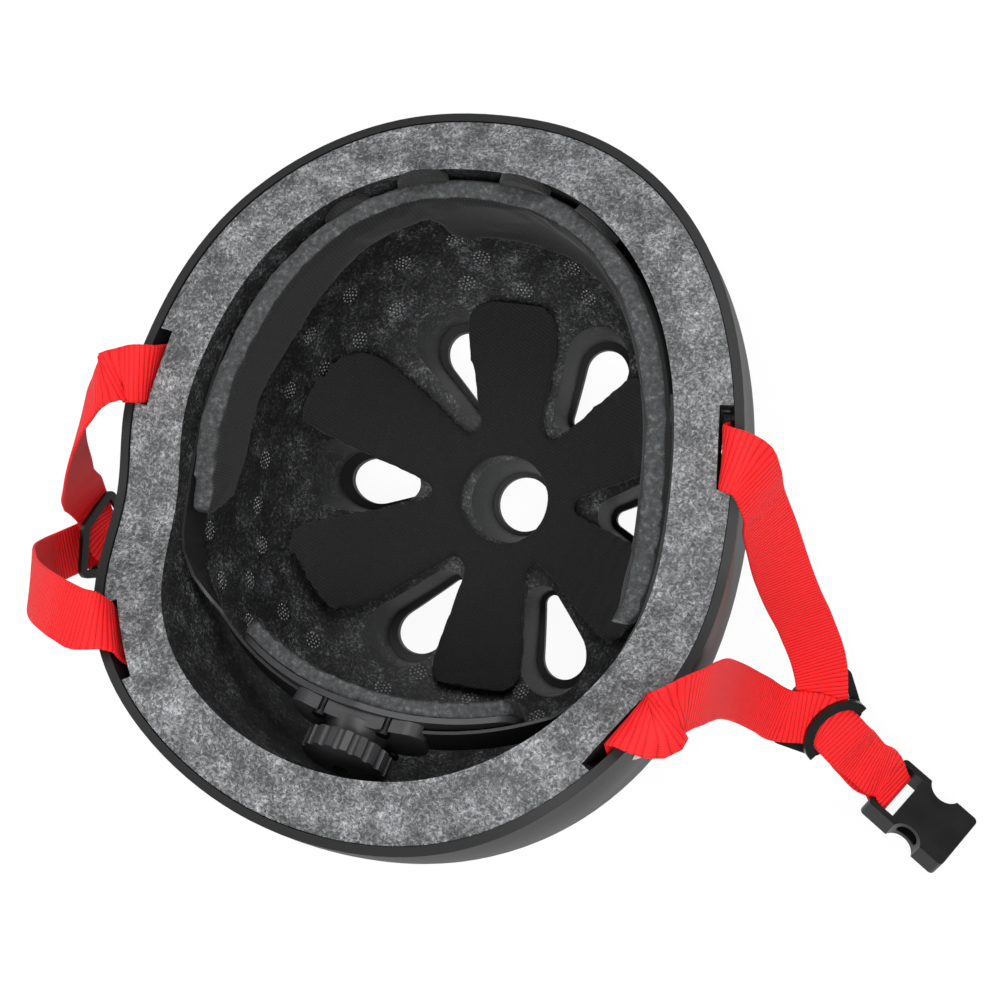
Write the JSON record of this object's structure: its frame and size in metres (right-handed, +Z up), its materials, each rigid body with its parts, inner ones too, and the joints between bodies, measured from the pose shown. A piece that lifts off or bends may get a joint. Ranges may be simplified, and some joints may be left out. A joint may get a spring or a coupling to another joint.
{
  "type": "skateboard helmet",
  "caption": "Round-backed skate helmet lying on its crown, with foam liner, pads, dial-adjusted head cradle and buckled webbing straps.",
  "frame": {"origin": "the point of the crown that the upturned helmet rests on", "axes": "+Z up out of the head opening, +Y to the brow, +X to the wearer's left as the helmet lies upside down"},
  "size_m": [0.3685, 0.2622, 0.1868],
  "materials": {
    "shell_abs": "matte black ABS",
    "liner_foam": "moulded bead foam, speckled grey",
    "pad_knit": "ribbed knit over foam",
    "hook_tape": "hook-and-loop tape",
    "webbing_red": "woven webbing",
    "black_acetal": "satin",
    "band_nylon": "satin",
    "rivet_steel": "nickel plated",
    "washer_steel": "zinc plated"
  },
  "bodies": {
    "helmet": {"outer_shell": "shell_abs", "eps_liner": "liner_foam", "crown_pad": "pad_knit", "crown_hook_patches": "hook_tape", "forehead_pad": "pad_knit", "forehead_hook_patches": "hook_tape", "strap_rivets": "rivet_steel", "rivet_washers": "washer_steel", "headband_arm_left": "band_nylon", "headband_arm_right": "band_nylon", "headband_anchors": "band_nylon", "strap_divider_left": "black_acetal", "strap_divider_right": "black_acetal", "webbing_left": "webbing_red", "webbing_right": "webbing_red"},
    "cradle": {"cradle_yoke": "black_acetal", "cradle_pad": "pad_knit", "cradle_cover": "black_acetal", "cradle_screws": "washer_steel", "click_ring": "black_acetal"},
    "dial": {"dial_knob": "black_acetal", "dial_pinion": "black_acetal", "dial_screw": "washer_steel"},
    "socket": {"buckle_socket": "black_acetal"},
    "plug": {"buckle_plug": "black_acetal"}
  },
  "joints": [
    {"name": "cradle_slide", "type": "slide", "parent": "helmet", "child": "cradle", "axis": [0, 0.9919, 0.1271], "range_m": [-0.002, 0.014], "deforming": ["headband_arm_left", "headband_arm_right"]},
    {"name": "dial_turn", "type": "hinge", "parent": "cradle", "child": "dial", "pos_m": [-0.00883, -0.09824, 0.1476], "axis": [-0.1009, -0.9358, 0.3378], "range_deg": [-205, 32]},
    {"name": "buckle_socket_swing", "type": "hinge", "parent": "helmet", "child": "socket", "pos_m": [0.16422, -0.06854, 0.01175], "axis": [-0.4324, -0.7198, 0.543], "range_deg": [-90, 50]},
    {"name": "buckle_plug_swing", "type": "hinge", "parent": "helmet", "child": "plug", "pos_m": [-0.1456, -0.03713, 0.00437], "axis": [0, 1, 0], "range_deg": [-40, 100]}
  ],
  "couplings": [
    {"joint": "dial_turn", "follows": "cradle_slide", "rad_per_m": -250}
  ]
}
